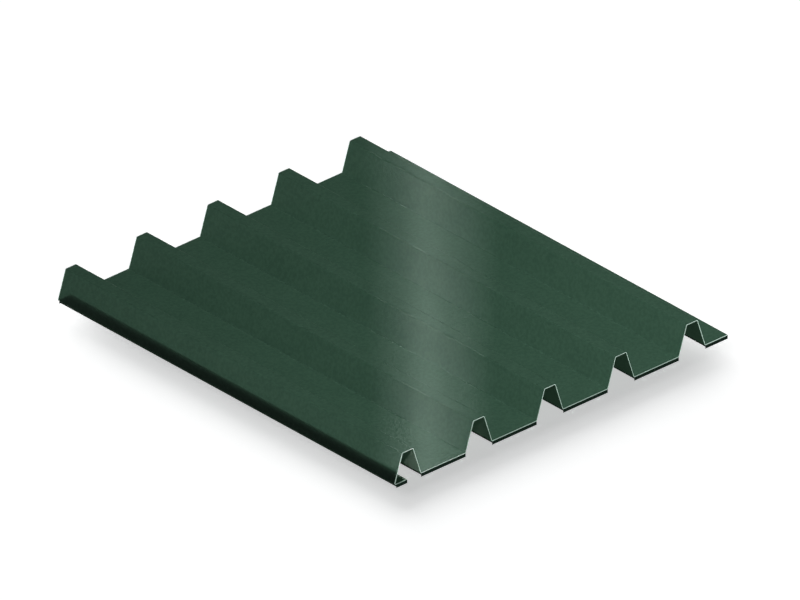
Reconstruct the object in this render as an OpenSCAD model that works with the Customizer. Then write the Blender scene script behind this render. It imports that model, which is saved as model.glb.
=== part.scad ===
// Box profile roofing sheet: one coated steel strip, roll-formed into upright ribs with
// flat crowns, wide flat pans between them, a foot folded in under the first rib and a
// flat side lap flange beyond the last one. X runs across the ribs, Y along them, Z up,
// with the origin under the middle of the sheet.

/* [Sheet] */
// Length of the sheet along its ribs
sheet_length = 1045; // [200:5:6000]
// Thickness of the coated steel
gauge = 1; // [0.5:0.1:1.5]

/* [Ribs] */
// Number of ribs across the sheet
rib_count = 5; // [1:1:8]
// Distance from one rib to the next
rib_pitch = 200; // [150:5:400]
// Height from the face of a pan to the face of a crown
rib_height = 68; // [30:1:90]
// Width of a crown, from corner to corner
crown_width = 30.5; // [20:0.5:60]
// How far a web leans over between a pan and a crown
web_run = 22; // [10:0.5:30]

/* [Edges] */
// Width of the foot folded in under the first rib
foot_width = 35; // [20:0.5:38]
// Width of the side lap flange beyond the last rib
flange_width = 63; // [20:1:120]

/* [Bends] */
// Inside radius of every bend
bend_radius = 2; // [1:0.25:5]
// Flat steps that one bend is made in
bend_steps = 6; // [3:1:12]

/* [Hidden] */

coat_green = [0.176, 0.278, 0.220];

rib_base = crown_width + 2 * web_run;
web_angle = atan2(rib_height, web_run);
outer_radius = bend_radius + gauge;

// The fold line follows the weather face of the sheet as if every bend were sharp. The
// weather face is the underside of the foot and the upper side of everything else, so
// the foot's free edge comes first, lying on the ground, and the steel is always to the
// right of the line.
pan_z = gauge;
crown_z = pan_z + rib_height;
foot_fold_x = -pan_z / tan(web_angle);

function rib_folds(x) = [
    [x + web_run, crown_z],
    [x + web_run + crown_width, crown_z],
    [x + rib_base, pan_z]
];

function pan_end(i) = [i * rib_pitch, pan_z];

last_rib_x = (rib_count - 1) * rib_pitch;
flange_edge_x = last_rib_x + rib_base + flange_width;

fold_line = [
    [foot_fold_x + foot_width, 0],
    [foot_fold_x, 0],
    for (i = [0 : rib_count - 1])
        each i == 0 ? rib_folds(0) : concat([pan_end(i)], rib_folds(i * rib_pitch)),
    [flange_edge_x, pan_z]
];

// The foot's bend bulges out past its web, so it is the sheet's edge on that side.
foot_edge_x = foot_fold_x + outer_radius / tan(web_angle / 2) - outer_radius;
middle_x = (foot_edge_x + flange_edge_x) / 2;

function heading(i) =
    let (step = fold_line[i + 1] - fold_line[i])
    atan2(step.y, step.x);

function left_of(angle) = [-sin(angle), cos(angle)];

// Points of the bend at fold i, at a depth below the weather face.
function bend(i, depth) =
    let (from = heading(i - 1),
         to = heading(i),
         side = sign(to - from),
         face_radius = side > 0 ? bend_radius : outer_radius,
         reach = side * face_radius / cos((to - from) / 2),
         centre = fold_line[i] + reach * left_of((from + to) / 2))
    [for (k = [0 : bend_steps])
        let (angle = from + (to - from) * k / bend_steps)
        centre - (side * face_radius + depth) * left_of(angle)];

// One face of the sheet, from the foot's free edge to the flange's.
function face(depth) =
    let (last = len(fold_line) - 1)
    [
        fold_line[0] - depth * left_of(heading(0)),
        for (i = [1 : last - 1]) each bend(i, depth),
        fold_line[last] - depth * left_of(heading(last - 1))
    ];

function reversed(points) = [for (i = [len(points) - 1 : -1 : 0]) points[i]];

module profile() {
    polygon(concat(face(0), reversed(face(gauge))));
}

module sheet() {
    color(coat_green)
        rotate([90, 0, 0])
            linear_extrude(height = sheet_length, center = true)
                translate([-middle_x, 0])
                    profile();
}

sheet();
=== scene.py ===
"""Box profile roofing sheet: dark green coated steel, lying flat on a pale studio floor.

The frame's one node, sheet, is the finished shape. This script gives it its coat, its
reverse coat and its bare cut edges, partly a painted highlight on the rim beside the sheared
ends, and sets up the floor, with a painted shadow under the flats, the lamps and the camera.
Lengths are in metres, in the frame's own axes: X across the ribs, Y along them, Z up.
"""

import math

import bpy
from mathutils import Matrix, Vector


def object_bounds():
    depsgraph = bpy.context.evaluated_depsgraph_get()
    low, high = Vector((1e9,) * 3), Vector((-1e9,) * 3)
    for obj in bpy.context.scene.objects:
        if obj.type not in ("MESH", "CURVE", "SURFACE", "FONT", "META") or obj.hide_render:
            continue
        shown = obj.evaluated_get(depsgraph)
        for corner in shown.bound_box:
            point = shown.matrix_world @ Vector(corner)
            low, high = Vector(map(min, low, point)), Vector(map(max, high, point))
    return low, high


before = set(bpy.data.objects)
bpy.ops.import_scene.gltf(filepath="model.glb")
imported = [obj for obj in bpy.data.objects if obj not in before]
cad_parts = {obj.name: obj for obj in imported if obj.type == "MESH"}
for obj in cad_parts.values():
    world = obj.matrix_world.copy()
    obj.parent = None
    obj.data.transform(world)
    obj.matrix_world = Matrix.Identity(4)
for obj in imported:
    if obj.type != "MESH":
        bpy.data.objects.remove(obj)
cad_low, cad_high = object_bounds()

# The sheet's section, as its source gives it
RIB_COUNT = 5
RIB_PITCH = 0.200
RIB_BASE = 0.0745
RIB_HEIGHT = 0.068
WEB_RUN = 0.022
GAUGE = 0.001
FOOT_WIDTH = 0.035
FLANGE_WIDTH = 0.063

LEFT, RIGHT = cad_low.x, cad_high.x
FRONT, BACK = cad_low.y, cad_high.y
LAST_RIB_LEFT = RIGHT - FLANGE_WIDTH - RIB_BASE
FIRST_RIB_LEFT = LAST_RIB_LEFT - (RIB_COUNT - 1) * RIB_PITCH

# Colours, as linear red, green and blue
COAT_DEEP = (0.0223, 0.0519, 0.0340, 1)
COAT_PALE = (0.0357, 0.0770, 0.0507, 1)
REVERSE_DEEP = (0.0500, 0.1150, 0.0705, 1)
REVERSE_PALE = (0.0595, 0.1320, 0.0820, 1)
# ZINC_GREY is the zinc's colour, and also the painted highlight on the rim beside the sheared ends
ZINC_GREY = (0.72, 0.92, 0.82, 1)
BLACK = (0, 0, 0, 1)


class Value:
    """A node's output that can be written in sums, so that shader maths reads as maths."""

    def __init__(self, tree, socket):
        self.tree = tree
        self.socket = socket

    def output(self, name):
        return Value(self.tree, self.socket.node.outputs[name])

    def maths(self, operation, *values):
        return self.tree.node("Math", {"operation": operation}, dict(enumerate(values)))

    def __add__(self, other):
        return self.maths("ADD", self, other)

    def __radd__(self, other):
        return self.maths("ADD", other, self)

    def __sub__(self, other):
        return self.maths("SUBTRACT", self, other)

    def __rsub__(self, other):
        return self.maths("SUBTRACT", other, self)

    def __mul__(self, other):
        return self.maths("MULTIPLY", self, other)

    def __mod__(self, other):
        return self.maths("FLOORED_MODULO", self, other)

    def __abs__(self):
        return self.maths("ABSOLUTE", self)

    def __gt__(self, other):
        return self.maths("GREATER_THAN", self, other)

    def __lt__(self, other):
        return self.maths("LESS_THAN", self, other)

    def highest(self, other):
        return self.maths("MAXIMUM", self, other)

    def rise(self, low, high):
        """0 up to low, 1 from high on, and a smooth curve in between."""
        return self.tree.node(
            "MapRange",
            {"interpolation_type": "SMOOTHSTEP"},
            {"Value": self, "From Min": low, "From Max": high},
        )


class Tree:
    """The node tree of a material or of the world, emptied and filled again by node()."""

    def __init__(self, owner):
        owner.use_nodes = True
        self.nodes = owner.node_tree.nodes
        self.links = owner.node_tree.links
        self.nodes.clear()

    def node(self, kind, settings, inputs, output=0):
        """Adds a node, sets it up, feeds its sockets, and gives one of its outputs."""
        made = self.nodes.new("ShaderNode" + kind)
        for name, setting in settings.items():
            setattr(made, name, setting)
        for name, value in inputs.items():
            if isinstance(value, Value):
                self.links.new(value.socket, made.inputs[name])
            else:
                made.inputs[name].default_value = value
        return Value(self, made.outputs[output]) if made.outputs else made

    def mix(self, share, first, second):
        """Colour first where share is 0, and colour second where it is 1."""
        return self.node(
            "Mix", {"data_type": "RGBA"}, {"Factor": share, 6: first, 7: second}, 2
        )

    def object_place(self):
        """The point's place in the frame's axes, as a vector."""
        return self.node("TexCoord", {}, {}, "Object")

    def object_normal(self):
        return self.node("TexCoord", {}, {}, "Normal")

    def split(self, vector):
        """The X, Y and Z of a vector."""
        x = self.node("SeparateXYZ", {}, {"Vector": vector})
        return x, x.output("Y"), x.output("Z")

    def noise(self, place, size, detail=2, roughness=0.5):
        """Soft cloudy noise around 0.5, with features about size metres across."""
        return self.node(
            "TexNoise",
            {},
            {"Vector": place, "Scale": 1 / size, "Detail": detail, "Roughness": roughness},
            "Fac",
        )


def new_material(name):
    material = bpy.data.materials.new(name)
    return material, Tree(material)


# The part of its normal along an axis from which a face counts as facing that way. Both slit
# edges face X squarely, and none of the steps that the bends are made in does.
FACING = 0.9
FACING_SQUARELY = 0.995

# Width of the rim beside the sheared ends, partly bare zinc and partly a painted highlight
ZINC_AND_HIGHLIGHT_RIM = 0.0012

# The limits of the normal's Z on the steps of a bend that get painted shade, and how much darker
# it makes them
BEND_STEEP = 0.5
BEND_FLAT = 0.97
PAINTED_BEND_SHADE = 0.08


def cut_edge_mask(tree):
    """1 on the sheared ends, a thin rim above them and the slit long edges: the bare zinc, and on
    the rim also a painted highlight.
    """
    normal_x, normal_y, normal_z = tree.split(tree.object_normal())
    sheared_end = abs(normal_y) > FACING
    slit_edge = normal_x > FACING_SQUARELY
    _, y, _ = tree.split(tree.object_place())
    # The rim beside the sheared ends: partly bare zinc, partly a painted highlight
    rim = (abs(y) > BACK - ZINC_AND_HIGHLIGHT_RIM) * (normal_z > 0)
    return sheared_end.highest(slit_edge).highest(rim)


def reverse_mask(tree):
    """1 on the reverse side: whatever faces down, but on the foot what faces up."""
    x, _, z = tree.split(tree.object_place())
    _, _, normal_z = tree.split(tree.object_normal())
    on_foot = (x < LEFT + FOOT_WIDTH + GAUGE) * (z < 2 * GAUGE)
    faces_down = normal_z < 0
    foot_top = on_foot * (normal_z > FACING)
    foot_underside = on_foot * (normal_z < -FACING)
    return faces_down * (1 - foot_underside) + foot_top


def painted_bend_shade_mask(tree):
    """1 on the bends beside the left webs, where painted shade darkens the light their steps
    catch.
    """
    normal_x, _, normal_z = tree.split(tree.object_normal())
    return (normal_x < 0) * (normal_z > BEND_STEEP) * (normal_z < BEND_FLAT)


# The embossed grain, and the pattern of the coat
GRAIN_SIZE = 0.0032
GRAIN_SMOOTHNESS = 0.4
GRAIN_HEIGHT = 0.00012
WANDER_SIZE = 0.006
WANDER_REACH = 0.003
WAVE_SIZE = 0.18
WAVE_HEIGHT = 0.0012
SPECKLE_SIZE = 0.0075
MOTTLE_SIZE = 0.060

# What each pattern adds to the way from the coat's deep to its pale colour
PLAIN_SHADE = 0.085
SPECKLE_SHADE = 0.38
MOTTLE_SHADE = 0.17
GRAIN_SHADE = 0.17

COAT_ROUGHNESS = 0.45
GRAIN_POLISH = -0.06
MOTTLE_DULLING = 0.08
COAT_SPECULAR = 0.05
ZINC_ROUGHNESS = 0.45
ZINC_METALLIC = 0.92
REVERSE_ROUGHNESS = 0.7
REVERSE_SPECULAR = 0.02


def leather_grain(tree, place):
    """Height of the embossed grain: small rounded pebbles with creases between them."""
    wander = tree.noise(place, WANDER_SIZE) * WANDER_REACH
    warped = tree.node(
        "VectorMath",
        {"operation": "ADD"},
        {0: place, 1: tree.node("CombineXYZ", {}, {"X": wander, "Y": wander})},
    )
    pebbles = tree.node(
        "TexVoronoi",
        {"feature": "SMOOTH_F1"},
        {"Vector": warped, "Scale": 1 / GRAIN_SIZE, "Smoothness": GRAIN_SMOOTHNESS},
        "Distance",
    )
    return 1 - pebbles


def coated_steel():
    """Leather-grain plastisol on the weather side, a thin backing coat, bare zinc at the cuts."""
    material, tree = new_material("coated_steel")
    place = tree.object_place()
    grain = leather_grain(tree, place)
    speckle = tree.noise(place, SPECKLE_SIZE, detail=1)
    mottle = tree.noise(place, MOTTLE_SIZE, detail=3, roughness=0.6)
    edge = cut_edge_mask(tree)
    reverse = reverse_mask(tree)

    shade = (
        PLAIN_SHADE
        + speckle.rise(low=0.3, high=0.7) * SPECKLE_SHADE
        + mottle.rise(low=0.25, high=0.75) * MOTTLE_SHADE
        + grain * GRAIN_SHADE
    )
    flat_colour = tree.mix(shade, COAT_DEEP, COAT_PALE)
    # Painted shade on the bends beside the left webs
    weather_colour = tree.mix(painted_bend_shade_mask(tree) * PAINTED_BEND_SHADE, flat_colour, BLACK)
    colour = tree.mix(edge, weather_colour, ZINC_GREY)

    coat_roughness = COAT_ROUGHNESS + grain * GRAIN_POLISH + mottle * MOTTLE_DULLING
    roughness = coat_roughness * (1 - edge) + edge * ZINC_ROUGHNESS
    waves = tree.noise(place, WAVE_SIZE, detail=1)
    height = grain * GRAIN_HEIGHT + waves * WAVE_HEIGHT
    relief = tree.node(
        "Bump", {}, {"Strength": 1.0, "Distance": 1.0, "Height": height}, "Normal"
    )
    weather_side = tree.node(
        "BsdfPrincipled",
        {},
        {
            "Base Color": colour,
            "Metallic": edge * ZINC_METALLIC,
            "Roughness": roughness,
            "Specular IOR Level": COAT_SPECULAR,
            "Normal": relief,
        },
    )
    backing_shade = mottle.rise(low=0.3, high=0.7)
    backing_colour = tree.mix(backing_shade, REVERSE_DEEP, REVERSE_PALE)
    reverse_side = tree.node(
        "BsdfPrincipled",
        {},
        {
            "Base Color": backing_colour,
            "Roughness": REVERSE_ROUGHNESS,
            "Specular IOR Level": REVERSE_SPECULAR,
        },
    )
    on_reverse = reverse * (1 - edge)
    surface = tree.node("MixShader", {}, {0: on_reverse, 1: weather_side, 2: reverse_side})
    tree.node("OutputMaterial", {}, {"Surface": surface})
    return material


# The camera stands where the photograph was taken from, in parallel projection.
AZIMUTH = math.radians(-42.234)
ELEVATION = math.radians(29.76)
VIEW_WIDTH = 1.6671
VIEW_RIGHT = 0.0151
VIEW_UP = 0.0375
CAMERA_DISTANCE = 4.0
CAMERA_REACH = 100

# To the camera's right, along the floor
SIDEWAYS = Vector((math.cos(AZIMUTH), math.sin(AZIMUTH), 0))


def direction(azimuth, elevation):
    """Unit vector from the sheet towards a place at that azimuth and elevation, in radians."""
    flat = math.cos(elevation)
    return Vector((math.sin(azimuth) * flat, -math.cos(azimuth) * flat, math.sin(elevation)))


def aim(thing, towards):
    """Turns a camera or a lamp, which look along their own -Z, with its Y kept upright."""
    thing.rotation_euler = towards.to_track_quat("-Z", "Y").to_euler()


def add_camera():
    back = direction(AZIMUTH, ELEVATION)
    up = back.cross(SIDEWAYS)
    lens = bpy.data.cameras.new("photo_camera")
    lens.type = "ORTHO"
    lens.ortho_scale = VIEW_WIDTH
    lens.clip_end = CAMERA_REACH
    camera = bpy.data.objects.new("photo_camera", lens)
    bpy.context.scene.collection.objects.link(camera)
    camera.location = back * CAMERA_DISTANCE + SIDEWAYS * VIEW_RIGHT + up * VIEW_UP
    aim(camera, -back)
    bpy.context.scene.camera = camera


# The floor lies a little under the sheet, so that the flats stand over a thin gap, which gets a
# painted shadow.
FLOOR_DROP = 0.0085
FLOOR_SIZE = 60
SHOWN_FLOOR = (0.536, 0.541, 0.542, 1)
FLOOR_PALE = (0.80, 0.80, 0.80, 1)
FLOOR_BOUNCE = (0.30, 0.30, 0.30, 1)
# Colour of the painted shadow on the floor under the flats
PAINTED_GAP_SHADOW = (0.0065, 0.0144, 0.0097, 1)

# How far the gap's painted shadow stays inside the side edges of the flats and of the foot, and
# how far the cards of painted shadow that close it stay inside the foot's
FLAT_INSET = 0.0058
FOOT_INSET = 0.0077
CARD_INSET = 0.004


def shown_to_eye(tree):
    """1 for what the camera sees, straight or in metal or glass, and 0 for the rest."""
    rays = tree.node("LightPath", {}, {}, "Is Camera Ray")
    return rays.highest(rays.output("Is Glossy Ray")).highest(rays.output("Is Transmission Ray"))


def painted_gap_shadow_mask(tree):
    """1 on the floor under the pans, the flange and the foot, away from their side edges: the
    painted shadow.
    """
    x, y, _ = tree.split(tree.object_place())
    along = (y > FRONT) * (y < BACK)
    across = (x > FIRST_RIB_LEFT + RIB_BASE) * (x < RIGHT)
    under_flat = ((x - FIRST_RIB_LEFT) % RIB_PITCH) > RIB_BASE + FLAT_INSET
    under_foot = (x > LEFT + FOOT_INSET) * (x < LEFT + FOOT_WIDTH)
    return along * (across * under_flat + under_foot)


def matt_material(name, colour, glow):
    """Dull stage surface with its own colour and what it shows to the eye by itself."""
    material, tree = new_material(name)
    surface = tree.node(
        "BsdfPrincipled",
        {},
        {
            "Base Color": colour(tree),
            "Roughness": 1.0,
            "Specular IOR Level": 0.0,
            "Emission Color": glow(tree),
            "Emission Strength": 1.0,
        },
    )
    tree.node("OutputMaterial", {}, {"Surface": surface})
    return material


def floor_material():
    """Near white to the eye, with a painted shadow under the flats. The lamps make up the share
    that the sheet's shadow takes away.
    """

    def colour(tree):
        open_floor = tree.mix(shown_to_eye(tree), FLOOR_BOUNCE, FLOOR_PALE)
        # Black under the flats, for the painted shadow
        return tree.mix(painted_gap_shadow_mask(tree), open_floor, BLACK)

    def glow(tree):
        # Dark green to the eye under the flats: the painted shadow
        shown_colour = tree.mix(painted_gap_shadow_mask(tree), SHOWN_FLOOR, PAINTED_GAP_SHADOW)
        return tree.mix(shown_to_eye(tree), BLACK, shown_colour)

    return matt_material("pale_floor", colour, glow)


def painted_shadow_material():
    """A painted shadow: dark green to the eye, and black to the light."""
    return matt_material(
        "gap_shadow_paint", lambda tree: BLACK, lambda tree: tree.mix(shown_to_eye(tree), BLACK, PAINTED_GAP_SHADOW)
    )


def add_card(name, corners):
    """A flat four-cornered card."""
    bpy.ops.object.select_all(action="DESELECT")
    bpy.ops.mesh.primitive_plane_add(size=1)
    card = bpy.context.object
    card.name = name
    for vertex, corner in zip(card.data.vertices, corners):
        vertex.co = corner
    return card


def add_floor():
    half = FLOOR_SIZE / 2
    corners = [(x, y, -FLOOR_DROP) for y in (-half, half) for x in (-half, half)]
    floor = add_card("studio_floor", corners)
    floor.data.materials.append(floor_material())
    return floor


def add_painted_shadow_cards():
    """Cards of painted shadow that close the gap under every flat at both ends of the sheet."""
    dark = painted_shadow_material()
    flats = [(LEFT + CARD_INSET, LEFT + FOOT_WIDTH)]
    for rib in range(RIB_COUNT - 1):
        left = FIRST_RIB_LEFT + rib * RIB_PITCH + RIB_BASE
        flats.append((left, left + RIB_PITCH - RIB_BASE))
    flats.append((RIGHT - FLANGE_WIDTH, RIGHT))
    ends = [(y, left, right) for y in (FRONT, BACK) for left, right in flats]
    for number, (y, left, right) in enumerate(ends, start=1):
        corners = [(x, y, z) for z in (-FLOOR_DROP, 0) for x in (left, right)]
        card = add_card(f"shadow_paint_card_{number}", corners)
        card.data.materials.append(dark)


def add_hidden_card(name, corners):
    """A card that leaves nothing but its shadow."""
    card = add_card(name, corners)
    card.visible_camera = False
    card.visible_diffuse = False
    card.visible_glossy = False
    card.visible_transmission = False
    return card


def add_shadow_card():
    """A card over the crowns, so that the floor's shadow is as even as under a solid block."""
    corners = [(x, y, cad_high.z) for y in (FRONT, BACK) for x in (LEFT, RIGHT)]
    return add_hidden_card("shadow_card", corners)


def add_mouth_cards():
    """Cards in the ribs' front ends, which keep the key lamp out of the ribs."""
    y = FRONT + 2 * ZINC_AND_HIGHLIGHT_RIM
    cards = []
    for rib in range(RIB_COUNT):
        left = FIRST_RIB_LEFT + rib * RIB_PITCH
        right = left + RIB_BASE
        corners = [
            (left, y, 0),
            (right, y, 0),
            (left + WEB_RUN, y, RIB_HEIGHT),
            (right - WEB_RUN, y, RIB_HEIGHT),
        ]
        cards.append(add_hidden_card(f"mouth_card_{rib + 1}", corners))
    return cards


# Three flags beside the first web shade the lowest part of it, two from the key lamp and one
# from the near fill. They start before the sheet, and their back ends are cut on the slant.
FLAG_LEAD = 0.08
SHADE_LOW = -0.030
SHADE_SLANT = 0.77


def add_flag(name, source, gap, top):
    """A card at gap from the sheet's left edge, which shades the web up to top from source."""

    def corner(y, z):
        web_x = FIRST_RIB_LEFT + z * WEB_RUN / RIB_HEIGHT
        return Vector((web_x, y, z)) + source * ((LEFT - gap - web_x) / source.x)

    corners = [
        corner(y, z)
        for z in (SHADE_LOW, top)
        for y in (FRONT - FLAG_LEAD, BACK - z / SHADE_SLANT)
    ]
    return add_hidden_card(name, corners)


def group_of(name, *members):
    """A collection that lamps use to say what they light or what casts their shadows."""
    group = bpy.data.collections.new(name)
    for member in members:
        group.objects.link(member)
    return group


def add_lamp(name, kind, power, towards, place, lights, blocks, **settings):
    """A lamp at place, shining along towards, that lights one group and is blocked by another."""
    data = bpy.data.lights.new(name, kind)
    data.energy = power
    for setting, value in settings.items():
        setattr(data, setting, value)
    lamp = bpy.data.objects.new(name, data)
    bpy.context.scene.collection.objects.link(lamp)
    lamp.location = place
    aim(lamp, towards)
    lamp.light_linking.receiver_collection = lights
    lamp.light_linking.blocker_collection = blocks
    return lamp


SKY_GREY = (0.04, 0.04, 0.04, 1)
SUN_DISTANCE = 3

# The near fill's side, in degrees, which its flag needs too
NEAR_TURN = 14
NEAR_ELEVATION = 6

# The key lamp: its light fades to nothing at KEY_REACH beside its middle.
KEY_ELEVATION = math.radians(45)
KEY_POWER = 50.8
KEY_DISTANCE = 10.8
KEY_RIGHT = 0.82
KEY_REACH = 3.0
KEY_SIZE = 1.2

# The gloss lamps: long, thin blades that stand upright before the camera
GLOSS_ELEVATION = math.radians(42.7)
GLOSS_DISTANCE = 5.0
GLOSS_WIDTH = 0.01
GLOSS_LENGTH = 1.4
GLOSS_TINT = (1.70, 1.0, 1.31)


def add_world():
    world = bpy.data.worlds.new("studio")
    bpy.context.scene.world = world
    tree = Tree(world)
    colour = tree.mix(shown_to_eye(tree), BLACK, SKY_GREY)
    light = tree.node("Background", {}, {"Color": colour, "Strength": 1.0})
    tree.node("OutputWorld", {}, {"Surface": light})


def side_of_camera(turn, elevation):
    """Unit vector to a place that is turned from the camera's side, in degrees."""
    return direction(AZIMUTH + math.radians(turn), math.radians(elevation))


def add_sun(name, power, turn, elevation, angle, lights, blocks):
    """Even light from one side, with all angles in degrees."""
    source = side_of_camera(turn, elevation)
    place = source * SUN_DISTANCE
    return add_lamp(
        name, "SUN", power, -source, place, lights, blocks, angle=math.radians(angle)
    )


def key_place():
    """A place above the camera and to its right, so that the coat gets darker to the left."""
    return direction(AZIMUTH, KEY_ELEVATION) * KEY_DISTANCE + SIDEWAYS * KEY_RIGHT


def add_key(name, share, lights, blocks):
    """A share of the key lamp, large and far and pointed straight along the camera's azimuth."""
    add_lamp(
        name,
        "AREA",
        KEY_POWER * share,
        -direction(AZIMUTH, KEY_ELEVATION),
        key_place(),
        lights,
        blocks,
        shape="SQUARE",
        size=KEY_SIZE,
        spread=2 * math.atan(KEY_REACH / KEY_DISTANCE),
    )


def add_gloss(name, power, right, reach, lights, blocks):
    """A blade of light in an upright plane along the line of sight, fading over reach.

    It is hidden from glossy rays, since it would give the pans a tinted sheen from behind.
    """
    source = direction(AZIMUTH, GLOSS_ELEVATION)
    lamp = add_lamp(
        name,
        "AREA",
        power,
        -source,
        source * GLOSS_DISTANCE + SIDEWAYS * right,
        lights,
        blocks,
        shape="RECTANGLE",
        size=GLOSS_WIDTH,
        size_y=GLOSS_LENGTH,
        spread=2 * math.atan(reach / GLOSS_DISTANCE),
        color=GLOSS_TINT,
    )
    lamp.visible_glossy = False


def add_lamps(sheet, floor):
    key_source = (key_place() - Vector((LEFT, 0, 0))).normalized()
    near_source = side_of_camera(NEAR_TURN, NEAR_ELEVATION)
    near_edge = add_flag("near_edge", key_source, gap=0.003, top=0.0259)
    far_edge = add_flag("far_edge", key_source, gap=0.036, top=0.0220)
    mouths = add_mouth_cards()
    near_flag = add_flag("near_flag", near_source, gap=0.018, top=0.0222)

    # What the lamps light
    on_sheet = group_of("lit_sheet", sheet)
    on_floor = group_of("lit_floor", floor)
    # What casts their shadows
    by_near_edge = group_of("shades_sheet", sheet, near_edge)
    by_near_edge_and_mouths = group_of("shades_key", sheet, near_edge, *mouths)
    by_far_edge_and_mouths = group_of("shades_key_soft", sheet, far_edge, *mouths)
    by_near_flag = group_of("shades_near", near_flag)
    by_shadow_card = group_of("shades_floor", add_shadow_card())

    add_key("key", share=0.75, lights=on_sheet, blocks=by_near_edge_and_mouths)
    add_key("key_soft", share=0.25, lights=on_sheet, blocks=by_far_edge_and_mouths)
    add_gloss("gloss", 1.12, right=0.0815, reach=0.142, lights=on_sheet, blocks=by_near_edge)
    add_gloss("gloss_core", 0.12, right=0.0680, reach=0.049, lights=on_sheet, blocks=by_near_edge)

    def add_sheet_sun(name, power, turn, elevation, angle, blocks):
        return add_sun(name, power, turn, elevation, angle, on_sheet, blocks)

    add_sheet_sun("sky", 0.234, turn=0, elevation=90, angle=180, blocks=on_sheet)
    # These two fill in the webs from both sides. The sheet casts no shadow in their light, and
    # only a flag does in the first one's.
    near_fill = add_sheet_sun(
        "near_fill", 1.0, NEAR_TURN, NEAR_ELEVATION, angle=16, blocks=by_near_flag
    )
    far_fill = add_sheet_sun("far_fill", 1.3, turn=100, elevation=12, angle=10, blocks=on_floor)
    near_fill.visible_glossy = False
    far_fill.visible_glossy = False

    def add_floor_sun(name, power, turn, elevation, angle):
        add_sun(name, power, turn, elevation, angle, on_floor, by_shadow_card)

    # These two give the floor its soft shadow, long towards the camera and short to the left.
    add_floor_sun("back", 3.27, turn=190.33, elevation=26.91, angle=32.85)
    add_floor_sun("back_high", 0.639, turn=213.56, elevation=58.92, angle=32.57)


def make_scene():
    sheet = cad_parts["sheet"]
    sheet.data.materials.clear()
    sheet.data.materials.append(coated_steel())
    add_camera()
    floor = add_floor()
    add_painted_shadow_cards()
    add_world()
    add_lamps(sheet, floor)
    bpy.context.scene.view_settings.view_transform = "Standard"


make_scene()
